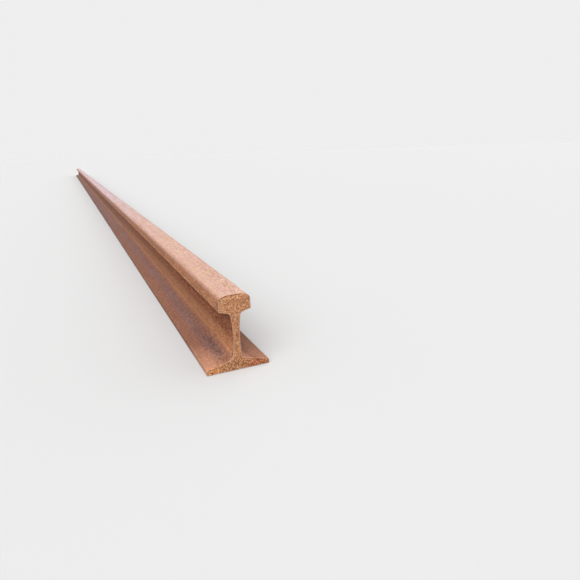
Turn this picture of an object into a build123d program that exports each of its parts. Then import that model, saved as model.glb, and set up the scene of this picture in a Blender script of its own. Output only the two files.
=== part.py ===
import os
from math import asin, degrees

from build123d import *

# A flat-bottom steel rail, 6 5/8 in high on a 5 1/2 in foot and about 114 lb per yard, rolled
# in one piece and sawn square at both ends. X runs along the rail, Y across it and Z up. The
# origin is on the underside of the foot, at mid length and on the middle of the section.

# Driving dimensions, in millimetres
rail_length = 11887.2
rail_height = 168.275

# Head: its width is taken at the gauge height, and its depth on the middle of the section
head_width = 69.05625
head_depth = 44.45
gauge_depth = 15.875
side_taper = 1 / 40
crown_radius = 254.0
shoulder_width = 19.05
shoulder_radius = 31.75
gauge_corner_radius = 9.525
head_lower_corner_radius = 2.0

# Web: its sides are hollow arcs, nearest to each other at the waist
web_thickness = 15.08125
web_waist_height = 73.025
web_side_radius = 355.6
upper_web_fillet = 9.525
lower_web_fillet = 19.05

# Foot
foot_width = 139.7
toe_thickness = 11.1125
toe_upper_radius = 4.0
toe_lower_radius = 1.6

# The fishing faces, below the head and above the foot, share one slope
fishing_slope = 1 / 4

# The worn edge round each sawn end
end_chamfer = 1.0

# How far the web is drawn into the head and the foot before they are joined
web_overlap = 10.0

# Heights that follow from those
gauge_height = rail_height - gauge_depth
head_apex = rail_height - head_depth
foot_apex = toe_thickness + fishing_slope * foot_width / 2


def head_side(z):
    """Half the width of the head at a height: its sides lean out towards the bottom."""
    return head_width / 2 + side_taper * (gauge_height - z)


def web_side(z):
    """Half the thickness of the web at a height."""
    rise = z - web_waist_height
    return web_thickness / 2 + web_side_radius - (web_side_radius**2 - rise**2) ** 0.5


# Where the side of the head meets the fishing face below it
lower_corner_y = head_side(head_apex) / (1 + side_taper * fishing_slope)
lower_corner = (lower_corner_y, head_apex + fishing_slope * lower_corner_y)

# The crown turns down as far as the shoulders, and they turn on past the side of the head
crown_turn = degrees(asin((head_width / 2 - shoulder_width) / crown_radius))
shoulder_turn = 75.0

with BuildPart() as rail:
    with BuildSketch(Plane.YZ.offset(-rail_length / 2)) as section:
        # Head: fishing faces and sides, carried up square to the full height
        with BuildLine():
            Polyline(
                (0, head_apex), lower_corner, (head_side(rail_height), rail_height), (0, rail_height)
            )
            mirror(about=Plane.YZ)
        make_face()

        # The running surface trims it: a flat crown with a rounder shoulder on each side
        with BuildLine():
            crown = JernArc((0, rail_height), (1, 0), crown_radius, -crown_turn)
            shoulder = JernArc(crown @ 1, crown % 1, shoulder_radius, -shoulder_turn)
            Polyline(shoulder @ 1, ((shoulder @ 1).X, 0), (0, 0))
            mirror(about=Plane.YZ)
        make_face(mode=Mode.INTERSECT)

        # From the lowest up, its corners are the lower ones, the gauge corners and the crown's ends
        fillet(section.vertices().group_by(Axis.Y)[-2], gauge_corner_radius)
        fillet(section.vertices().group_by(Axis.Y)[1], head_lower_corner_radius)

        # Foot: a flat underside, upright toes and two sloping fishing faces
        with BuildLine():
            Polyline((0, 0), (foot_width / 2, 0), (foot_width / 2, toe_thickness), (0, foot_apex))
            mirror(about=Plane.YZ)
        make_face()

        # Web: two hollow sides
        with BuildLine():
            web_bottom = foot_apex - web_overlap
            web_top = head_apex + web_overlap
            side = ThreePointArc(
                (web_side(web_bottom), web_bottom),
                (web_side(web_waist_height), web_waist_height),
                (web_side(web_top), web_top),
            )
            Line((0, web_bottom), side @ 0)
            Line(side @ 1, (0, web_top))
            mirror(about=Plane.YZ)
        make_face()

        # From the lowest up, the corners are now the underside's, the toes', and the web's
        # with the foot and with the head. Rounding the highest first keeps that order.
        fillet(section.vertices().group_by(Axis.Y)[3], upper_web_fillet)
        fillet(section.vertices().group_by(Axis.Y)[2], lower_web_fillet)
        fillet(section.vertices().group_by(Axis.Y)[1], toe_upper_radius)
        fillet(section.vertices().group_by(Axis.Y)[0], toe_lower_radius)
    extrude(amount=rail_length)

    sawn_ends = rail.faces().filter_by(Axis.X)
    chamfer(sawn_ends.edges(), end_chamfer)

rail.part.label = "rail"

os.makedirs("parts", exist_ok=True)
export_step(rail.part, "parts/rail.step")
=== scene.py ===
import math

import bpy
import numpy as np
from mathutils import Matrix, Vector, geometry, noise


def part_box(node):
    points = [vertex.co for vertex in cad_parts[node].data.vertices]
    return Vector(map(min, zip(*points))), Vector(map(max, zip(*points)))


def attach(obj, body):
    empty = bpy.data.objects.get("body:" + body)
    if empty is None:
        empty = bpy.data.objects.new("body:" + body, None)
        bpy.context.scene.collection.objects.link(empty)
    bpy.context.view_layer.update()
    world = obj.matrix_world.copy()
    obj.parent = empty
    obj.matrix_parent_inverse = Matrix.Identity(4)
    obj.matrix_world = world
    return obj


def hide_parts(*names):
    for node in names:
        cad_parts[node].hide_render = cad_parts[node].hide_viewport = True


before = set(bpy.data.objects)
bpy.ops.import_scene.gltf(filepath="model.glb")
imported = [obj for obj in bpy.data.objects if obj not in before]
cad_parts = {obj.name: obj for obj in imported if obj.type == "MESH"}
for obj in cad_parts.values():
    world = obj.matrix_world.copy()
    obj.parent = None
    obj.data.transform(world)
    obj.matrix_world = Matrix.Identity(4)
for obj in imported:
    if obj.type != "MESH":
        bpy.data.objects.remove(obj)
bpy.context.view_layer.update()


def srgb(red, green, blue):
    """The linear colour that shaders take, from a colour as it shows on screen, 0 to 255."""
    shown = np.array((red, green, blue)) / 255
    linear = np.where(shown <= 0.04045, shown / 12.92, ((shown + 0.055) / 1.055) ** 2.4)
    return (*linear, 1)


# Everything is in metres, in the frame of the CAD: X along the rail, Y to its left as the
# camera sees it, and Z up from the underside of the foot.
rail_low, rail_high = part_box("rail")
near_end = rail_low[0]
far_end = rail_high[0]

# Section of the rail, the same as in the CAD
RAIL_HEIGHT = 0.168275
HEAD_WIDTH = 0.06905625
HEAD_DEPTH = 0.04445
GAUGE_DEPTH = 0.015875
SIDE_TAPER = 1 / 40
CROWN_RADIUS = 0.254
SHOULDER_WIDTH = 0.01905
SHOULDER_RADIUS = 0.03175
GAUGE_CORNER_RADIUS = 0.009525
HEAD_LOWER_CORNER_RADIUS = 0.002
WEB_THICKNESS = 0.01508125
WEB_WAIST_HEIGHT = 0.073025
WEB_SIDE_RADIUS = 0.3556
UPPER_WEB_FILLET = 0.009525
LOWER_WEB_FILLET = 0.01905
FOOT_WIDTH = 0.1397
TOE_THICKNESS = 0.0111125
TOE_UPPER_RADIUS = 0.004
TOE_LOWER_RADIUS = 0.0016
FISHING_SLOPE = 1 / 4

# Mesh: how finely the section and the length are divided
OUTLINE_STEP = 0.0034
ARC_STEP = math.radians(14)
FIRST_RING_STEP = 0.0018
RING_GROWTH = 1.045
LONGEST_RING_STEP = 0.075
CAP_STEP = 0.0011
CAP_MARGIN = 0.0006
SAME_PLACE = 1e-6

# The rim of a sawn end is rounded by rust, more in some places than in others, and painted paler as a
# highlight on the rounded edge
RIM_RADIUS = 0.0013
RIM_WANDER = 0.5
RIM_WANDER_DENSITY = 90
RIM_RINGS = 4
RIM_SHADE = "rim"
RIM_SHADE_WIDTH = 0.0015

# Rust relief, all of it cut inwards from the section: depths, and features in a metre
SKIN_DEPTH = 0.00012
FLAKE_DEPTH = 0.00012
FLAKES_ALONG = 4
FLAKES_ACROSS = 50
FLAKE_EDGE = 0.1
GRAIN_DEPTH = 0.00022
GRAIN_DENSITY = 130
GRAIN_REACH = 0.25
CUT_GRAIN_DEPTH = 0.00035
CUT_GRAIN_DENSITY = 290
CUT_PIT_DEPTH = 0.0004
CUT_PIT_DENSITY = 230
CUT_PIT_FLOOR = 0.1
CUT_PIT_RIM = 0.5

# Texture map: a row for each half of the length, finer towards the ends, and the two cuts above
MAP_NAME = "OFBake"
MAP_GAP = 0.004
MAP_ROW = 0.38
MAP_CLOSENESS = 0.35

# Stage: the level of the light on the rail, and a floor and backdrop of one pale grey
SKY_STRENGTH = 0.45
KEY_LIGHT = {"energy": 2.4, "from": (-0.6, 0.45, 0.75), "angle": math.radians(60)}
FILL_LIGHT = {"energy": 0.8, "from": (0.3, -0.6, 0.7), "angle": math.radians(90)}
BACKDROP = 0.86
FLOOR_COLOUR = 0.722
FLOOR_BOUNCE = 0.25
FLOOR_ROUGHNESS = 0.9
FLOOR_SHINE = 0.1
FLOOR_SIZE = 600
FLOOR_DROP = 0.0002

# Tones of rust
PALE_RUST = srgb(214, 175, 155)
PINK_RUST = srgb(212, 164, 154)
YELLOW_RUST = srgb(214, 172, 140)
CREAM_RUST = srgb(202, 161, 142)
BUFF_RUST = srgb(179, 134, 112)
TAN_RUST = srgb(190, 130, 97)
ORANGE_RUST = srgb(206, 140, 98)
LIGHT_ORANGE = srgb(238, 162, 115)
PALE_SPECKS = srgb(240, 200, 178)
BROWN_RUST = srgb(198, 137, 98)
RED_RUST = srgb(172, 108, 74)
MAROON_RUST = srgb(100, 52, 30)
OLIVE_RUST = srgb(140, 96, 70)
FOOT_RUST = srgb(152, 103, 82)
TOE_RUST = srgb(142, 96, 74)
PINK_FOOT = srgb(199, 143, 115)
TOE_BLOOM = srgb(242, 174, 136)
MILL_SCALE = srgb(138, 107, 103)
DARK_SCALE = srgb(90, 68, 64)
UNDERSIDE_RUST = srgb(112, 76, 62)
# Pale grey-pink of dust, and of a painted sheen on the far head and toes
DUST_AND_SHEEN = srgb(202, 180, 186)

# Tones up the section, at heights in metres
BANDS = [
    (0.000, UNDERSIDE_RUST),
    (0.001, TOE_RUST),
    (0.006, TOE_RUST),
    (0.010, FOOT_RUST),
    (0.028, FOOT_RUST),
    (0.036, BROWN_RUST),
    (0.056, BROWN_RUST),
    (0.074, RED_RUST),
    (0.128, RED_RUST),
    (0.132, ORANGE_RUST),
    (0.146, TAN_RUST),
    (0.155, TAN_RUST),
    (0.161, BUFF_RUST),
    (0.165, CREAM_RUST),
    (0.168, PALE_RUST),
]
BAND_WANDER = 0.012

# Tones of a sawn end
CUT_RUST = srgb(208, 144, 101)
CUT_LIGHT = srgb(250, 206, 166)
CUT_DARK = srgb(98, 50, 30)
CUT_ORANGE = srgb(224, 144, 82)
CUT_RED = srgb(186, 100, 62)
CUT_BROWN = srgb(172, 110, 70)
CUT_LINE = srgb(126, 80, 56)
# Pale rim round a cut: a painted highlight. Dark line along its top: a painted shadow
RIM_HIGHLIGHT = srgb(222, 172, 142)
RIM_SHADOW = srgb(120, 74, 56)

# Noises of the rust: features in a metre along the rail and across it, detail and roughness
STREAKS = (2.2, 70, 4, 0.6)
PATCHES = (6, 36, 3, 0.6)
BLOTCHES = (40, 110, 3, 0.7)
MOTTLE = (14, 40, 6, 0.85)
SPECKLE = (60, 130, 3, 0.75)
FINE_STREAKS = (12, 300, 3, 0.65)
GRAIN = (130, 300, 2, 0.6)
BLOOMS = (14, 60, 3, 0.6)
SCALE_MARKS = (100, 200, 2, 0.7)

# Sawn ends: lines up the web, as above with the features in a metre up it, and crystals in a metre
CUT_LINES = (100, 400, 2, 0.5, 80)
CRYSTALS = 480

# The rest says where the rust changes, and by how much. A change is (from, to, first, last):
# while a height, a distance from the nearer cut, a place across the rail or a noise goes from
# one value to the other, what it steers goes smoothly from first to last. A band is
# (low, high, blur). Heights, distances and places are in metres.
FAR = (near_end, near_end + 3.3, 0, 1)
RIGHT = (-0.02, 0.0, 1, 0)
CUT_FACE = (RIM_RADIUS, 0.0021, 1, 0)

# The running surface is the crown, with pale specks on its right close to an end
CROWN = (0.158, 0.165, 0, 1)
# The crown's pale band reaches farther down on its right edge: a painted highlight
RIGHT_HIGHLIGHT_LIFT = (0.145, 0.155, 0, 0.008)
YELLOW_BLOTCHES = (0.50, 0.60, 0, 0.6)
PINK_BLOTCHES = (0.40, 0.50, 0.8, 0)
PITS = (0.56, 0.66, 0, 1)
PITS_ALONG = (0.05, 0.6, 0.45, 0.2)
SPECKS = (0.48, 0.60, 0, 0.6)
SPECKS_ACROSS = (-0.012, 0.0, 1, 0)
SPECKS_ALONG = (0.08, 0.20, 1, 0)

# The left of the crown is smoother, most of all close to an end
SMOOTH_ACROSS = (-0.004, 0.016, 0, 1)
SMOOTH_ALONG = (0.3, 1.0, 1, 0.2)
SMOOTHNESS = (0, 1, 1, 0.55)

# Sides of the head
HEAD_SIDE = (0.134, 0.158, 0.004)
OLIVE_STREAKS = (0.52, 0.62, 0, 0.4)
BLOOM = (0.52, 0.64, 0, 0.5)
BLOOM_ZONE = (0.02, 0.07, 0.015)
MORE_BLOOM = 0.08
LOWER_SIDE_START = (0.126, 0.130, 0, 1)
LOWER_SIDE_END = (0.138, 0.147, 1, 0)
LOWER_SIDE_ALONG = (0.10, 0.35, 0.15, 0)

# Dark mottling of the web
MOTTLING_DENSITY = (0.050, 0.108, -0.12, 0.03)
MOTTLING_MARKS = (0.48, 0.53, 0, 1)
MOTTLING_END = (0.118, 0.134, 1, 0)
MOTTLING_ALONG = (0.05, 0.15, 0.62, 0.9)

# Mill scale on top of the foot. Close to an end it is in dark marks, and worn off on the right
SCALE_BAND = (0.0175, 0.0245, 0.0035)
SCALE_START = (0.015, 0.045, 0, 1)
SCALE_SHARE = (0.34, 0.58, 0.25, 0.75)
DARK_SCALE_BAND = (0.0184, 0.0245, 0.0025)
DARK_SCALE_MARKS = (0.46, 0.54, 0, 1)
DARK_SCALE_ZONE = (0.038, 0.105, 0.012)
MORE_DARK_SCALE = 0.08
DARK_SCALE_SHARE = (0, 1, 0.12, 0.62)
NEAR_AN_END = (0.10, 0.30, 1, 0)

# Bright rust on the foot close to an end, which ends sooner beside the web
BRIGHT_ALONG = (0.025, 0.17, 1, 0)
BRIGHT_WANDER = 0.08
BRIGHT_ENDS_SOONER = (0.017, 0.021, 0, 0.03)
BRIGHT_OUTSIDE = (0.014, 0.024, 1, 0.2)
BRIGHT_ON_RIGHT = (0, 1, 1, 0.45)
FOOT_END = (0.028, 0.036, 1, 0)
BESIDE_WEB = (0.021, 0.030, 0.002)
BESIDE_WEB_ALONG = (0.02, 0.045, 0.6, 0)
TOE_ACROSS = (0.03, 0.06, 0, 1)
TOE_UP = (0.014, 0.022, 1, 0)
TOE_ALONG = (0.006, 0.028, 0.5, 0)

# Darker lower parts and sides of the head. Away from the near end the toes and the lower web get a
# painted shade, and the right of the foot a painted shade as from a rail beside it
TOE_PAINTED_SHADE = (0.010, 0.021, 0.52, 0.06)
LOWER_PARTS = (0.09, 0.10, 1, 0)
WEB_DARKER_BAND = (0.034, 0.076, 0.010)
WEB_DARKER_ALONG = (0.0, 0.3, 0, 0.2)
WEB_PAINTED_SHADE_FAR = 0.33
SIDE_DARKER_BAND = (0.130, 0.154, 0.006)
SIDE_DARKER_ALONG = (0.2, 0.7, 0, 0.17)
# The right of the foot away from a cut: a painted shade, as from a rail lying beside it
RIGHT_FOOT_PAINTED_SHADE = (0.03, 0.05, 1, 0)
RIGHT_FOOT_PAINTED_SHADE_ALONG = (0.02, 0.09, 0, 0.18)

# Dust and a painted sheen, which lie unevenly and take a part of the contrast of what is below: the far
# head and toes are paler and greyer, partly from dust and partly as a painted sheen of grazing light
DUST_AND_SHEEN_ON_TOP = (0.156, 0.169, 0, 0.72)
DUST_AND_SHEEN_ON_SIDE = (0.125, 0.140, 0.08, 0.22)
DUST_AND_SHEEN_ON_TOE = (0.010, 0.021, 0.06, 0)
DUST_AND_SHEEN_BY_PATCHES = (0.38, 0.62, 0.70, 1.22)
DUST_AND_SHEEN_BY_BLOTCHES = (0.40, 0.60, 0.84, 1.12)
DUST_AND_SHEEN_BY_SPECKLE = (0.40, 0.62, 1.10, 0.80)
DUST_AND_SHEEN_CONTRAST = 0.7

# Shades of the rolled surface, and where the broad and the fine ones have less or more contrast
STREAK_SHADES = (0.3, 0.7, 0.9, 1.08)
FINE_STREAK_SHADES = (0.35, 0.65, 0.86, 1.12)
MOTTLE_SHADES = (0.4, 0.6, 0.80, 1.19)
SPECKLE_SHADES = (0.38, 0.62, 0.72, 1.26)
GRAIN_SHADES = (0.38, 0.62, 0.68, 1.30)
FAR_CROWN_SHADES = (0.36, 0.64, 0.87, 1.12)
FOOT_CONTRAST = (0.055, 0.085, 0.6, 1)
OUTER_FOOT = (0.0150, 0.0175, 1, 0)
OUTER_FOOT_ALONG = (0.15, 0.35, 1, 0)
OUTER_FOOT_CONTRAST = (0, 1, 1, 0.5)
WEB_BAND = (0.07, 0.12, 0.01)
WEB_FINE_CONTRAST = (0, 1, 1, 1.5)
HEAD_BROAD_CONTRAST = (0.122, 0.134, 1, 0.5)
HEAD_FINE_CONTRAST = (0.122, 0.165, 1, 0.55)
BROAD_CONTRAST_ALONG = (0.08, 0.3, 1, 0.6)
FINE_CONTRAST_ALONG = (0.08, 0.3, 1, 0.8)
RUSTY_POWERS = {"Red": 0.8, "Green": 1.0, "Blue": 1.15}

# Tones and grains of a sawn end
CUT_FOOT = (0.012, 0.034, 1, 0)
CUT_FOOT_SHARE = 0.7
CUT_LEFT_TOE = (0.025, 0.055, 0, 1)
CUT_RIGHT_TOE = (-0.05, 0.0, 1, 0)
CUT_WEB = (0.040, 0.112, 0.008)
CUT_GRAININESS = (0, 1, 0.9, 0.55)
MORE_GRAIN_ON_TOE = 0.4
LIGHT_CRYSTALS = (0.55, 1.0, 0, 0.7)
DARK_CRYSTALS = (0.0, 0.5, 0.62, 0)
LINES_OF_CUT = (0.37, 0.45, 0.7, 0)

# The rim is painted pale as a highlight, and dark along its top, up to the right corner, as a painted
# shadow
RIM_TOP = (0.156, 0.160, 0, 1)
RIM_TOP_ACROSS = (-0.022, -0.010, 0, 1)
RIM_LOW_SHARE = (0.012, 0.030, 0.35, 0.85)
RIM_HIGH_SHARE = (0.156, 0.160, 1, 0.45)

# Shine of the rust, where 0.5 is that of a plain paint, its roughness, and its bump in metres
RUST_SHINE = 0.25
ROUGHNESS = (0.3, 0.7, 0.72, 0.9)
BUMP_STRENGTH = 0.8
BUMP_DEPTH = 0.003
BUMP_BY_GRAIN = 0.6
BUMP_BY_MOTTLE = 0.8
CROWN_BUMP = (0, 1, 1, 0.4)

# Camera, fitted to the outline of the end face and to the long edges of the rail
CAMERA_FROM_NEAR_END = Vector((-0.8801, 0.2730, 0.4462))
CAMERA_HEADING = math.radians(-24.344)
CAMERA_PITCH_DOWN = math.radians(16.613)
CAMERA_ROLL = math.radians(-1.826)
CAMERA_FOCAL_PIXELS = 470
IMAGE_PIXELS = 580
SENSOR_MM = 36
NEAREST_SEEN = 0.05
FARTHEST_SEEN = 500


def normal(angle):
    """The outward normal of the section at an angle from level, as (y, z)."""
    return np.array((math.cos(angle), math.sin(angle)))


def between_lines(first, second, radius):
    """Centre of an arc that touches two lines, each given as (normal angle, distance)."""
    normals = np.array([normal(first[0]), normal(second[0])])
    return np.linalg.solve(normals, np.array((first[1] - radius, second[1] - radius)))


def line_and_arc(line, centre, arc_radius, radius, ahead):
    """Centre of an arc that touches a line and another arc, at the crossing ahead or behind."""
    across = normal(line[0])
    along = np.array((-across[1], across[0]))
    foot = across * (line[1] - radius)
    offset = foot - centre
    half = offset @ along
    reach = math.sqrt(half**2 - offset @ offset + (arc_radius - radius) ** 2)
    return foot + along * (-half + (reach if ahead else -reach))


def section_arcs():
    """The right half of the section as arcs of (centre, radius, first and last normal angle).

    They run from the underside of the foot to the crown. A hollow arc has a negative radius,
    and the straight stretches are what joins one arc to the next.
    """
    slope_angle = math.atan2(1, FISHING_SLOPE)
    side_angle = math.atan(SIDE_TAPER)
    head_apex = RAIL_HEIGHT - HEAD_DEPTH
    foot_apex = TOE_THICKNESS + FISHING_SLOPE * FOOT_WIDTH / 2
    gauge_point = np.array((HEAD_WIDTH / 2, RAIL_HEIGHT - GAUGE_DEPTH))

    underside = (-math.pi / 2, 0.0)
    toe = (0.0, FOOT_WIDTH / 2)
    foot_top = (slope_angle, foot_apex * math.sin(slope_angle))
    head_bottom = (-slope_angle, -head_apex * math.sin(slope_angle))
    head_side = (side_angle, gauge_point @ normal(side_angle))

    web_centre = np.array((WEB_THICKNESS / 2 + WEB_SIDE_RADIUS, WEB_WAIST_HEIGHT))
    web_arc = (web_centre, -WEB_SIDE_RADIUS)
    lower_fillet = line_and_arc(foot_top, *web_arc, -LOWER_WEB_FILLET, ahead=True)
    upper_fillet = line_and_arc(head_bottom, *web_arc, -UPPER_WEB_FILLET, ahead=False)
    to_lower = web_centre - lower_fillet
    to_upper = web_centre - upper_fillet
    web_low_angle = math.atan2(to_lower[1], to_lower[0])
    web_high_angle = math.atan2(to_upper[1], to_upper[0])

    crown_centre = np.array((0.0, RAIL_HEIGHT - CROWN_RADIUS))
    crown_angle = math.acos((HEAD_WIDTH / 2 - SHOULDER_WIDTH) / CROWN_RADIUS)
    shoulder_centre = crown_centre + normal(crown_angle) * (CROWN_RADIUS - SHOULDER_RADIUS)
    corner_centre = line_and_arc(
        head_side, shoulder_centre, SHOULDER_RADIUS, GAUGE_CORNER_RADIUS, True
    )
    to_corner = corner_centre - shoulder_centre
    corner_angle = math.atan2(to_corner[1], to_corner[0])

    toe_lower = between_lines(underside, toe, TOE_LOWER_RADIUS)
    toe_upper = between_lines(toe, foot_top, TOE_UPPER_RADIUS)
    head_lower = between_lines(head_bottom, head_side, HEAD_LOWER_CORNER_RADIUS)
    return [
        (toe_lower, TOE_LOWER_RADIUS, -math.pi / 2, 0.0),
        (toe_upper, TOE_UPPER_RADIUS, 0.0, slope_angle),
        (lower_fillet, -LOWER_WEB_FILLET, slope_angle, web_low_angle),
        (*web_arc, web_low_angle, web_high_angle),
        (upper_fillet, -UPPER_WEB_FILLET, web_high_angle, -slope_angle),
        (head_lower, HEAD_LOWER_CORNER_RADIUS, -slope_angle, side_angle),
        (corner_centre, GAUGE_CORNER_RADIUS, side_angle, corner_angle),
        (shoulder_centre, SHOULDER_RADIUS, corner_angle, crown_angle),
        (crown_centre, CROWN_RADIUS, crown_angle, math.pi / 2),
    ]


def section_outline():
    """The whole section as points (y, z) with their outward normals, from below, anticlockwise."""
    points = [np.zeros(2)]
    normals = [normal(-math.pi / 2)]
    for centre, radius, first, last in section_arcs():
        start = centre + radius * normal(first)
        straight = start - points[-1]
        if np.linalg.norm(straight) > SAME_PLACE:
            steps = math.ceil(np.linalg.norm(straight) / OUTLINE_STEP)
            for i in range(steps):
                points.append(points[-1] + straight / steps)
                normals.append(normal(first))
        turn = last - first
        steps = math.ceil(max(abs(turn) / ARC_STEP, abs(turn * radius) / OUTLINE_STEP))
        for i in range(1, steps + 1):
            angle = first + turn * i / steps
            points.append(centre + radius * normal(angle))
            normals.append(normal(angle))
    flip = np.array((-1, 1))
    left = [p * flip for p in points[-2:0:-1]]
    left_normals = [n * flip for n in normals[-2:0:-1]]
    return np.array(points + left), np.array(normals + left_normals)


def ring_places():
    """Distances from an end of the rings past its rim, up to where they are evenly spaced."""
    places = []
    place = RIM_RADIUS * (1 + RIM_WANDER)
    step = FIRST_RING_STEP
    while step < LONGEST_RING_STEP:
        place += step
        step *= RING_GROWTH
        places.append(place)
    return places


def smooth_step(value, low, high):
    """0 up to low and 1 from high on, with a smooth rise between them."""
    share = min(max((value - low) / (high - low), 0), 1)
    return share * share * (3 - 2 * share)


def grain_at(point, density):
    """Noise of about 0 to 1 at a point, with so many grains in a metre."""
    return noise.noise(point * density) * 0.5 + 0.5


def surface_depth(x, y, z):
    """How far rust has eaten into the rolled surface at a point."""
    flakes = noise.noise(Vector((x * FLAKES_ALONG, y * FLAKES_ACROSS, z * FLAKES_ACROSS)))
    from_end = min(x - near_end, far_end - x)
    grain = grain_at(Vector((x, y, z)), GRAIN_DENSITY)
    return (
        SKIN_DEPTH
        + FLAKE_DEPTH * smooth_step(flakes, -FLAKE_EDGE, FLAKE_EDGE)
        + GRAIN_DEPTH * grain * math.exp(-from_end / GRAIN_REACH)
    )


def cut_depth(x, y, z):
    """How far rust has eaten into the sawn face at a point."""
    point = Vector((x, y, z))
    to_pit = noise.voronoi(point * CUT_PIT_DENSITY)[0][0]
    pit = 1 - smooth_step(to_pit, CUT_PIT_FLOOR, CUT_PIT_RIM)
    return CUT_GRAIN_DEPTH * grain_at(point, CUT_GRAIN_DENSITY) + CUT_PIT_DEPTH * pit


def depth_inside(points, outline):
    """How far each point lies inside the outline, or 0 for one outside it."""
    edge = np.roll(outline, -1, axis=0) - outline
    depths = np.zeros(len(points))
    for i, (y, z) in enumerate(points):
        to_point = (y, z) - outline
        above = outline[:, 1] > z
        crossing = above != np.roll(above, -1)
        rise = (z - outline[crossing, 1]) / edge[crossing, 1]
        reach = outline[crossing, 0] + rise * edge[crossing, 0]
        if (reach > y).sum() % 2 == 1:
            share = np.clip((to_point * edge).sum(1) / (edge * edge).sum(1), 0, 1)
            depths[i] = np.linalg.norm(to_point - edge * share[:, None], axis=1).min()
    return depths


def cap(outline):
    """Points and triangles that fill the outline evenly. The outline's own points come first."""
    rows = np.arange(0, RAIL_HEIGHT, CAP_STEP * math.sqrt(3) / 2)
    points = []
    for i, z in enumerate(rows):
        columns = np.arange(-FOOT_WIDTH / 2 + (i % 2) * CAP_STEP / 2, FOOT_WIDTH / 2, CAP_STEP)
        points += [(y, z) for y in columns]
    points = np.array(points)
    points = points[depth_inside(points, outline) > CAP_MARGIN]
    everything = [Vector(p) for p in np.vstack((outline, points))]
    ring = list(range(len(outline)))
    made, _, triangles, _, _, _ = geometry.delaunay_2d_cdt(everything, [], [ring], 1, SAME_PLACE)
    return np.array([tuple(p) for p in made]), triangles


def rim_radii(x, outline):
    """The radius of the rounded rim at each point of the outline of the end at x."""
    wander = [noise.noise(Vector((x, y, z)) * RIM_WANDER_DENSITY) for y, z in outline]
    return RIM_RADIUS * (1 + RIM_WANDER * np.array(wander))


class End:
    """One sawn end: rings round its rim, from the cut to the rolled surface, and the cap in them."""

    def __init__(self, x, inwards, outline, normals):
        radii = rim_radii(x, outline)
        self.rings = []
        for i in range(RIM_RINGS + 1):
            angle = math.pi / 2 * i / RIM_RINGS
            section = outline - normals * (radii * (1 - math.sin(angle)))[:, None]
            ring = []
            for (y, z), across, radius in zip(section, normals, radii):
                along = radius * (1 - math.cos(angle)) + cut_depth(x, y, z) * math.cos(angle)
                y, z = (y, z) - across * surface_depth(x, y, z) * math.sin(angle)
                ring.append((x + inwards * along, y, z))
            self.rings.append(ring)
        cut_outline = outline - normals * radii[:, None]
        self.points, self.triangles = cap(cut_outline)
        added = self.points[len(outline):]
        self.fill = [(x + inwards * cut_depth(x, y, z), y, z) for y, z in added]
        self.fill_rim = np.clip(1 - depth_inside(added, cut_outline) / RIM_SHADE_WIDTH, 0, 1)


def along_rail():
    """Where the rings between the two rims stand along the rail."""
    graded = ring_places()
    first, last = near_end + graded[-1], far_end - graded[-1]
    even = np.linspace(first, last, round((last - first) / LONGEST_RING_STEP))
    before = [near_end + place for place in graded[:-1]]
    after = [far_end - place for place in reversed(graded[:-1])]
    return before + list(even) + after


def map_along(from_end):
    """How far along its row of the texture map a place is, by its distance from its end."""
    reach = (far_end - near_end) / 2 + LONGEST_RING_STEP
    return math.log(1 + from_end / MAP_CLOSENESS) / math.log(1 + reach / MAP_CLOSENESS)


def map_on_row(x, round_section, row):
    """The place on the map of a point of the rolled surface, by its share of the way round."""
    from_end = max(min(x - near_end, far_end - x), 0)
    left, bottom = MAP_GAP, MAP_GAP + row * (MAP_ROW + MAP_GAP)
    return left + map_along(from_end) * (1 - 2 * MAP_GAP), bottom + round_section * MAP_ROW


def map_on_cut(y, z, side):
    """The place on the map of a point of the cut at the near end, side 0, or the far one, 1."""
    bottom = 3 * MAP_GAP + 2 * MAP_ROW
    scale = (1 - MAP_GAP - bottom) / FOOT_WIDTH
    left = MAP_GAP + side * (MAP_GAP + RAIL_HEIGHT * scale)
    return left + z * scale, bottom + (y + FOOT_WIDTH / 2) * scale


def rail_rings(outline, normals, ends):
    """Every ring of points round the rail, from the near cut to the far one."""
    body_rings = []
    for x in along_rail():
        skin = [surface_depth(x, y, z) for y, z in outline]
        section = outline - normals * np.array(skin)[:, None]
        body_rings.append([(x, y, z) for y, z in section])
    return ends[0].rings + body_rings + ends[1].rings[::-1]


def rolled_faces(rings, outline):
    """The faces between the rings, and where each of their corners is on the map."""
    count = len(outline)
    sides = np.linalg.norm(np.roll(outline, -1, axis=0) - outline, axis=1)
    round_section = np.concatenate(([0], np.cumsum(sides))) / sides.sum()
    faces = []
    map_places = []
    for i in range(len(rings) - 1):
        row = 0 if rings[i][0][0] < 0 else 1
        for j in range(count):
            for ring, k in ((i, j), (i + 1, j), (i + 1, j + 1), (i, j + 1)):
                x = rings[ring][k % count][0]
                map_places.append(map_on_row(x, round_section[k], row))
            a = i * count + j
            b = i * count + (j + 1) % count
            faces.append((a, a + count, b + count, b))
    return faces, map_places


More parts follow.
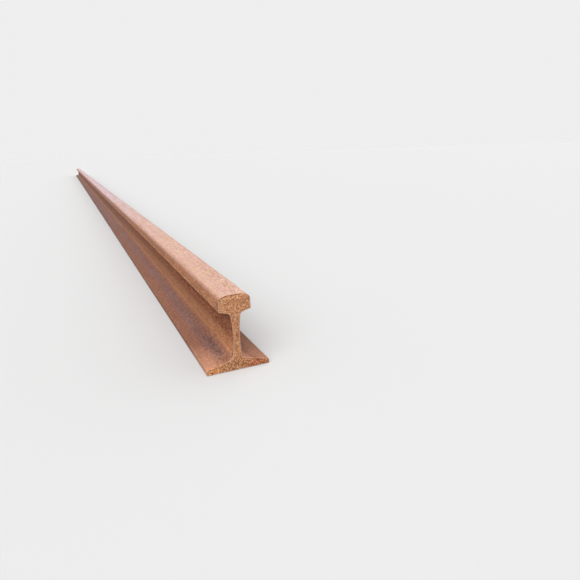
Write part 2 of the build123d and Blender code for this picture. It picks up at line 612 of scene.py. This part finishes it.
def make_rail():
    """The rail as one mesh: its rings, and the caps that fill the first and the last of them."""
    outline, normals = section_outline()
    count = len(outline)
    ends = [End(near_end, 1, outline, normals), End(far_end, -1, outline, normals)]
    rings = rail_rings(outline, normals, ends)
    vertices = [point for ring in rings for point in ring]
    rim = np.zeros(len(vertices))
    rim[:RIM_RINGS * count] = 1
    rim[-RIM_RINGS * count:] = 1
    faces, map_places = rolled_faces(rings, outline)
    ring_starts = (0, len(vertices) - count)
    for side, (end, ring_start) in enumerate(zip(ends, ring_starts)):
        fill_start = len(vertices) - count
        vertices += end.fill
        rim = np.concatenate((rim, end.fill_rim))
        for triangle in end.triangles:
            triangle = triangle if side else triangle[::-1]
            faces.append([k + (ring_start if k < count else fill_start) for k in triangle])
            map_places += [map_on_cut(*end.points[k], side) for k in triangle]

    mesh = bpy.data.meshes.new("rail_steel")
    mesh.from_pydata(vertices, [], faces)
    mesh.polygons.foreach_set("use_smooth", [True] * len(mesh.polygons))
    mesh.attributes.new(RIM_SHADE, "FLOAT", "POINT").data.foreach_set("value", rim)
    mesh.uv_layers.new(name=MAP_NAME).uv.foreach_set("vector", np.ravel(map_places))
    mesh.update()
    rail = bpy.data.objects.new("rail_steel", mesh)
    bpy.context.scene.collection.objects.link(rail)
    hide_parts("rail")
    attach(rail, "root")
    return rail


class Shading:
    """One material on a piece, with short ways to add its nodes."""

    def __init__(self, name):
        self.material = bpy.data.materials.new(name)
        self.material.use_nodes = True
        self.tree = self.material.node_tree
        self.shader = self.tree.nodes["Principled BSDF"]
        self.place = self.node("ShaderNodeTexCoord").outputs["Object"]
        self.x, self.y, self.z = self.node("ShaderNodeSeparateXYZ", {"Vector": self.place}).outputs

    def node(self, kind, inputs=None, **settings):
        """A new node of a kind, with its settings, and its inputs linked or set."""
        made = self.tree.nodes.new(kind)
        for name, value in settings.items():
            setattr(made, name, value)
        for name, value in (inputs or {}).items():
            self.plug(made.inputs[name], value)
        return made

    def plug(self, socket, value):
        """Links an output to a socket, or sets the socket to a value."""
        if isinstance(value, bpy.types.NodeSocket):
            self.tree.links.new(value, socket)
        else:
            socket.default_value = value

    def math(self, operation, first, second):
        return self.node("ShaderNodeMath", {0: first, 1: second}, operation=operation).outputs[0]

    def chain(self, operation, values):
        """Takes the first two values together, then the result and the third, and so on."""
        result = values[0]
        for value in values[1:]:
            result = self.math(operation, result, value)
        return result

    def product(self, *factors):
        return self.chain("MULTIPLY", factors)

    def total(self, *terms):
        return self.chain("ADD", terms)

    def wander(self, value, amount):
        """Turns noise into a shift to both sides of 0."""
        return self.product(self.math("SUBTRACT", value, 0.5), amount)

    def ease(self, value, low, high, first, last):
        """Goes smoothly from first to last as the value goes from low to high."""
        inputs = {"Value": value, "From Min": low, "From Max": high, "To Min": first, "To Max": last}
        return self.node("ShaderNodeMapRange", inputs, interpolation_type="SMOOTHSTEP").outputs[0]

    def between(self, value, low, high, blur):
        """1 where the value lies between low and high, fading out over the blur on each side."""
        rise = self.ease(value, low - blur, low + blur, 0, 1)
        return self.product(rise, self.ease(value, high - blur, high + blur, 1, 0))

    def noise(self, along, across, detail, roughness, up=None):
        """Noise with so many features in a metre along the rail, across it and up it."""
        scale = (along, across, up or across)
        scaled = self.node("ShaderNodeMapping", {"Vector": self.place, "Scale": scale})
        inputs = {"Vector": scaled.outputs[0], "Scale": 1, "Detail": detail, "Roughness": roughness}
        return self.node("ShaderNodeTexNoise", inputs).outputs[0]

    def crystals(self, density):
        """Small cells, so many in a metre, each with a value of its own from 0 to 1."""
        inputs = {"Vector": self.place, "Scale": density}
        colour = self.node("ShaderNodeTexVoronoi", inputs).outputs["Color"]
        return self.node("ShaderNodeSeparateColor", {"Color": colour}).outputs[0]

    def ramp(self, factor, stops):
        """The colour at a factor between stops, each given as (position, colour)."""
        made = self.node("ShaderNodeValToRGB", {"Fac": factor})
        elements = made.color_ramp.elements
        while len(elements) < len(stops):
            elements.new(1.0)
        for element, (position, colour) in zip(elements, stops):
            element.position = position
            element.color = colour
        return made.outputs[0]

    def mix(self, share, colour, other, mode="MIX"):
        """A colour with a share of another one."""
        made = self.node("ShaderNodeMix", data_type="RGBA", blend_type=mode)
        for name, value in (("Factor_Float", share), ("A_Color", colour), ("B_Color", other)):
            socket = next(s for s in made.inputs if s.identifier == name)
            self.plug(socket, value)
        return next(s for s in made.outputs if s.identifier == "Result_Color")

    def lay(self, tone, colour, *shares):
        """Lays a tone over a colour, by the product of the shares."""
        return self.mix(self.product(*shares), colour, tone)


class Rust(Shading):
    """The rust of the rail: the noises and the places that its colours go by, and its layers."""

    def __init__(self):
        super().__init__("rust")
        self.streaks = self.noise(*STREAKS)
        self.patches = self.noise(*PATCHES)
        self.blotches = self.noise(*BLOTCHES)
        self.mottle = self.noise(*MOTTLE)
        self.speckle = self.noise(*SPECKLE)
        self.fine_streaks = self.noise(*FINE_STREAKS)
        self.grain = self.noise(*GRAIN)
        self.from_cut = self.math("SUBTRACT", far_end, self.math("ABSOLUTE", self.x, 0))
        self.far = self.ease(self.x, *FAR)
        self.right = self.ease(self.y, *RIGHT)
        self.crown = self.ease(self.z, *CROWN)
        left_crown = self.product(self.crown, self.ease(self.y, *SMOOTH_ACROSS))
        near_crown = self.product(left_crown, self.ease(self.from_cut, *SMOOTH_ALONG))
        self.smooth = self.ease(near_crown, *SMOOTHNESS)

    def bands(self):
        """Bands up the section. The crown's pale one comes farther down on the right, a painted
        highlight on its right edge.
        """
        wander = self.wander(self.streaks, BAND_WANDER)
        highlight_lift = self.product(self.right, self.ease(self.z, *RIGHT_HIGHLIGHT_LIFT))
        height = self.total(self.z, wander, highlight_lift)
        share = self.math("DIVIDE", height, RAIL_HEIGHT)
        return self.ramp(share, [(z / RAIL_HEIGHT, tone) for z, tone in BANDS])

    def running_surface(self, colour):
        """Yellow and pink blotches, orange pits, and pale specks close to an end."""
        yellow = self.ease(self.blotches, *YELLOW_BLOTCHES)
        colour = self.lay(YELLOW_RUST, colour, self.crown, yellow)
        pink = self.ease(self.blotches, *PINK_BLOTCHES)
        colour = self.lay(PINK_RUST, colour, self.crown, pink)
        pits = self.product(self.ease(self.speckle, *PITS), self.ease(self.from_cut, *PITS_ALONG))
        colour = self.lay(ORANGE_RUST, colour, self.crown, self.smooth, pits)
        zone = self.product(self.ease(self.y, *SPECKS_ACROSS), self.ease(self.from_cut, *SPECKS_ALONG))
        specks = self.ease(self.grain, *SPECKS)
        return self.lay(PALE_SPECKS, colour, self.crown, zone, specks)

    def head_sides(self, colour):
        """Olive streaks and orange blooms, and a brighter lower edge close to an end."""
        side = self.between(self.z, *HEAD_SIDE)
        colour = self.lay(OLIVE_RUST, colour, side, self.ease(self.streaks, *OLIVE_STREAKS))
        more = self.product(self.between(self.from_cut, *BLOOM_ZONE), MORE_BLOOM)
        bloom = self.ease(self.total(self.noise(*BLOOMS), more), *BLOOM)
        colour = self.lay(ORANGE_RUST, colour, side, bloom)
        lower = self.product(self.ease(self.z, *LOWER_SIDE_START), self.ease(self.z, *LOWER_SIDE_END))
        return self.lay(LIGHT_ORANGE, colour, lower, self.ease(self.from_cut, *LOWER_SIDE_ALONG))

    def web(self, colour):
        """Below the head the web is mottled dark, less and less on the way down."""
        density = self.ease(self.z, *MOTTLING_DENSITY)
        marks = self.ease(self.total(self.speckle, density), *MOTTLING_MARKS)
        below_head = self.ease(self.z, *MOTTLING_END)
        strength = self.ease(self.from_cut, *MOTTLING_ALONG)
        return self.lay(MAROON_RUST, colour, marks, below_head, strength)

    def foot_scale(self, colour):
        """Mill scale is left in a band on top of the foot, in dark marks close to an end."""
        near = self.ease(self.from_cut, *NEAR_AN_END)
        worn = self.product(near, self.right)
        left = self.product(self.math("SUBTRACT", 1, worn), self.ease(self.from_cut, *SCALE_START))
        band = self.between(self.z, *SCALE_BAND)
        colour = self.lay(MILL_SCALE, colour, band, left, self.ease(self.patches, *SCALE_SHARE))
        dark_band = self.between(self.z, *DARK_SCALE_BAND)
        more = self.product(self.between(self.from_cut, *DARK_SCALE_ZONE), MORE_DARK_SCALE)
        marks = self.ease(self.total(self.noise(*SCALE_MARKS), more), *DARK_SCALE_MARKS)
        share = self.ease(near, *DARK_SCALE_SHARE)
        return self.lay(DARK_SCALE, colour, dark_band, left, marks, share)

    def bright_foot(self, colour):
        """Close to an end the foot is brighter, most of all its left toe."""
        sooner = self.ease(self.z, *BRIGHT_ENDS_SOONER)
        reach = self.total(self.from_cut, self.wander(self.patches, BRIGHT_WANDER), sooner)
        close = self.ease(reach, *BRIGHT_ALONG)
        outer = self.product(self.ease(self.z, *BRIGHT_OUTSIDE), self.ease(self.right, *BRIGHT_ON_RIGHT))
        colour = self.lay(PINK_FOOT, colour, close, outer, self.ease(self.z, *FOOT_END))
        beside_web = self.product(self.right, self.between(self.z, *BESIDE_WEB))
        colour = self.lay(PINK_FOOT, colour, beside_web, self.ease(self.from_cut, *BESIDE_WEB_ALONG))
        toe = self.product(self.ease(self.y, *TOE_ACROSS), self.ease(self.z, *TOE_UP))
        return self.lay(TOE_BLOOM, colour, toe, self.ease(self.from_cut, *TOE_ALONG))

    def darkening(self, colour):
        """Away from an end the lower parts and the sides of the head get darker, with a painted shade on
        the toes, the lower web and the right of the foot.
        """
        # Painted shade on the toes and the lower parts away from the near end. The web and the head
        # sides are darker away from a cut
        toes = self.product(self.far, self.ease(self.z, *TOE_PAINTED_SHADE), self.ease(self.z, *LOWER_PARTS))
        soon = self.ease(self.from_cut, *WEB_DARKER_ALONG)
        web_darkening = self.total(soon, self.product(self.far, WEB_PAINTED_SHADE_FAR))
        web = self.product(self.between(self.z, *WEB_DARKER_BAND), web_darkening)
        later = self.ease(self.from_cut, *SIDE_DARKER_ALONG)
        side = self.product(self.between(self.z, *SIDE_DARKER_BAND), later)
        # Painted shade on the right of the foot, as from a rail lying beside it
        right_foot_shade = self.product(self.right, self.ease(self.z, *RIGHT_FOOT_PAINTED_SHADE))
        right = self.product(right_foot_shade, self.ease(self.from_cut, *RIGHT_FOOT_PAINTED_SHADE_ALONG))
        most = self.chain("MAXIMUM", (toes, web, side, right))
        return self.mix(1, colour, self.math("SUBTRACT", 1, most), "MULTIPLY")

    def dust_and_sheen(self, colour, shade):
        """Away from the near end dust gathers on the head and the toes, with a painted sheen of grazing
        light that makes them paler and greyer.
        """
        dust_and_sheen = self.total(
            self.ease(self.z, *DUST_AND_SHEEN_ON_TOP),
            self.ease(self.z, *DUST_AND_SHEEN_ON_SIDE),
            self.ease(self.z, *DUST_AND_SHEEN_ON_TOE),
        )
        uneven = self.product(
            self.ease(self.patches, *DUST_AND_SHEEN_BY_PATCHES),
            self.ease(self.blotches, *DUST_AND_SHEEN_BY_BLOTCHES),
            self.ease(self.speckle, *DUST_AND_SHEEN_BY_SPECKLE),
        )
        tone = self.shaded(DUST_AND_SHEEN, self.math("POWER", shade, DUST_AND_SHEEN_CONTRAST))
        return self.lay(tone, colour, self.far, dust_and_sheen, uneven)

    def shade(self):
        """The lighter and darker places of the rolled surface, where 1 is neither."""
        broad = self.product(
            self.ease(self.streaks, *STREAK_SHADES),
            self.ease(self.fine_streaks, *FINE_STREAK_SHADES),
            self.ease(self.mottle, *MOTTLE_SHADES),
        )
        fine = self.product(
            self.ease(self.speckle, *SPECKLE_SHADES),
            self.ease(self.grain, *GRAIN_SHADES),
        )
        spots = self.ease(self.patches, *FAR_CROWN_SHADES)

        outer = self.product(self.ease(self.z, *OUTER_FOOT), self.ease(self.from_cut, *OUTER_FOOT_ALONG))
        foot = self.product(self.ease(self.z, *FOOT_CONTRAST), self.ease(outer, *OUTER_FOOT_CONTRAST))
        broad_contrast = self.product(
            foot,
            self.smooth,
            self.ease(self.z, *HEAD_BROAD_CONTRAST),
            self.ease(self.from_cut, *BROAD_CONTRAST_ALONG),
        )
        fine_contrast = self.product(
            foot,
            self.smooth,
            self.ease(self.between(self.z, *WEB_BAND), *WEB_FINE_CONTRAST),
            self.ease(self.z, *HEAD_FINE_CONTRAST),
            self.ease(self.from_cut, *FINE_CONTRAST_ALONG),
        )
        return self.product(
            self.math("POWER", broad, broad_contrast),
            self.math("POWER", fine, fine_contrast),
            self.math("POWER", spots, self.product(self.far, self.crown)),
        )

    def shaded(self, colour, shade):
        """A colour times a shade, which makes it redder the darker it is."""
        channels = {name: self.math("POWER", shade, power) for name, power in RUSTY_POWERS.items()}
        rusty = self.node("ShaderNodeCombineColor", channels).outputs[0]
        return self.mix(1, colour, rusty, "MULTIPLY")

    def rolled(self):
        """The rolled surface, from its bands up to its dust and painted sheen."""
        colour = self.head_sides(self.running_surface(self.bands()))
        colour = self.bright_foot(self.foot_scale(self.web(colour)))
        shade = self.shade()
        return self.dust_and_sheen(self.darkening(self.shaded(colour, shade)), shade)

    def cut(self):
        """A sawn end: small bright and dark grains, and lengthwise lines up its web."""
        foot = self.ease(self.z, *CUT_FOOT)
        left_toe = self.product(foot, self.ease(self.y, *CUT_LEFT_TOE))
        right_toe = self.product(foot, self.ease(self.y, *CUT_RIGHT_TOE))
        colour = self.lay(CUT_BROWN, CUT_RUST, foot, CUT_FOOT_SHARE)
        colour = self.lay(CUT_ORANGE, colour, left_toe)
        colour = self.lay(CUT_RED, colour, right_toe)

        web = self.between(self.z, *CUT_WEB)
        more = self.product(left_toe, MORE_GRAIN_ON_TOE)
        grainy = self.total(self.ease(web, *CUT_GRAININESS), more)
        crystals = self.crystals(CRYSTALS)
        colour = self.lay(CUT_LIGHT, colour, self.ease(crystals, *LIGHT_CRYSTALS), grainy)
        colour = self.lay(CUT_DARK, colour, self.ease(crystals, *DARK_CRYSTALS), grainy)
        return self.lay(CUT_LINE, colour, web, self.ease(self.noise(*CUT_LINES), *LINES_OF_CUT))

    def rim(self, colour):
        """Round the cut the rim is pale, a painted highlight, but dark along its top, up to the right
        corner, a painted shadow.
        """
        rim = self.node("ShaderNodeAttribute", attribute_name=RIM_SHADE).outputs["Fac"]
        on_top = self.product(self.ease(self.z, *RIM_TOP), self.ease(self.y, *RIM_TOP_ACROSS))
        tone = self.lay(RIM_SHADOW, RIM_HIGHLIGHT, on_top)
        low = self.ease(self.z, *RIM_LOW_SHARE)
        high = self.ease(self.z, *RIM_HIGH_SHARE)
        return self.lay(tone, colour, rim, self.math("MINIMUM", low, high))

    def bump(self):
        """Small bumps, fewer on the crown."""
        grain = self.product(self.grain, BUMP_BY_GRAIN)
        mottle = self.product(self.mottle, BUMP_BY_MOTTLE)
        height = self.product(self.total(grain, mottle), self.ease(self.crown, *CROWN_BUMP))
        inputs = {"Strength": BUMP_STRENGTH, "Distance": BUMP_DEPTH, "Height": height}
        return self.node("ShaderNodeBump", inputs).outputs[0]


def rust_material():
    rust = Rust()
    on_cut = rust.ease(rust.from_cut, *CUT_FACE)
    inputs = rust.shader.inputs
    rust.plug(inputs["Base Color"], rust.rim(rust.lay(rust.cut(), rust.rolled(), on_cut)))
    rust.plug(inputs["Specular IOR Level"], RUST_SHINE)
    rust.plug(inputs["Roughness"], rust.ease(rust.mottle, *ROUGHNESS))
    rust.plug(inputs["Normal"], rust.bump())
    return rust.material


def make_camera():
    data = bpy.data.cameras.new("camera")
    data.sensor_width = SENSOR_MM
    data.lens = CAMERA_FOCAL_PIXELS * SENSOR_MM / IMAGE_PIXELS
    data.clip_start = NEAREST_SEEN
    data.clip_end = FARTHEST_SEEN
    camera = bpy.data.objects.new("camera", data)
    bpy.context.scene.collection.objects.link(camera)
    camera.matrix_world = (
        Matrix.Translation(Vector((near_end, 0, 0)) + CAMERA_FROM_NEAR_END)
        @ Matrix.Rotation(CAMERA_HEADING - math.pi / 2, 4, "Z")
        @ Matrix.Rotation(math.pi / 2 - CAMERA_PITCH_DOWN, 4, "X")
        @ Matrix.Rotation(CAMERA_ROLL, 4, "Z")
    )
    bpy.context.scene.camera = camera


def make_lights():
    for name, light in (("key", KEY_LIGHT), ("fill", FILL_LIGHT)):
        data = bpy.data.lights.new(name, "SUN")
        data.energy = light["energy"]
        data.angle = light["angle"]
        lamp = bpy.data.objects.new(name, data)
        bpy.context.scene.collection.objects.link(lamp)
        lamp.rotation_mode = "QUATERNION"
        lamp.rotation_quaternion = Vector(light["from"]).to_track_quat("Z", "Y")


def seen_or_mirrored(tree):
    """1 for rays from the camera and for mirrored ones, 0 for those that light other things."""
    path = tree.nodes.new("ShaderNodeLightPath")
    either = tree.nodes.new("ShaderNodeMath")
    either.operation = "MAXIMUM"
    tree.links.new(path.outputs["Is Camera Ray"], either.inputs[0])
    tree.links.new(path.outputs["Is Glossy Ray"], either.inputs[1])
    return either.outputs[0]


def make_world():
    world = bpy.data.worlds.new("sky")
    world.use_nodes = True
    tree = world.node_tree
    strength = tree.nodes.new("ShaderNodeMix")
    strength.inputs["A"].default_value = SKY_STRENGTH
    strength.inputs["B"].default_value = BACKDROP
    tree.links.new(seen_or_mirrored(tree), strength.inputs["Factor"])
    background = tree.nodes["Background"]
    background.inputs["Color"].default_value = (1, 1, 1, 1)
    tree.links.new(strength.outputs["Result"], background.inputs["Strength"])
    bpy.context.scene.world = world


def make_floor():
    half = FLOOR_SIZE / 2
    mesh = bpy.data.meshes.new("floor")
    corners = [(-half, -half), (half, -half), (half, half), (-half, half)]
    mesh.from_pydata([(x, y, -FLOOR_DROP) for x, y in corners], [], [(0, 1, 2, 3)])
    floor = bpy.data.objects.new("floor", mesh)
    bpy.context.scene.collection.objects.link(floor)
    material = bpy.data.materials.new("floor")
    material.use_nodes = True
    tree = material.node_tree
    shader = tree.nodes["Principled BSDF"]
    shader.inputs["Roughness"].default_value = FLOOR_ROUGHNESS
    shader.inputs["Specular IOR Level"].default_value = FLOOR_SHINE
    shade = tree.nodes.new("ShaderNodeMix")
    shade.data_type = "RGBA"
    shade.inputs["A"].default_value = (FLOOR_BOUNCE, FLOOR_BOUNCE, FLOOR_BOUNCE, 1)
    shade.inputs["B"].default_value = (FLOOR_COLOUR, FLOOR_COLOUR, FLOOR_COLOUR, 1)
    tree.links.new(seen_or_mirrored(tree), shade.inputs["Factor"])
    tree.links.new(shade.outputs["Result"], shader.inputs["Base Color"])
    mesh.materials.append(material)


make_world()
make_floor()
make_lights()
make_camera()
rail = make_rail()
rail.data.materials.append(rust_material())

bpy.context.scene.view_settings.view_transform = "Standard"
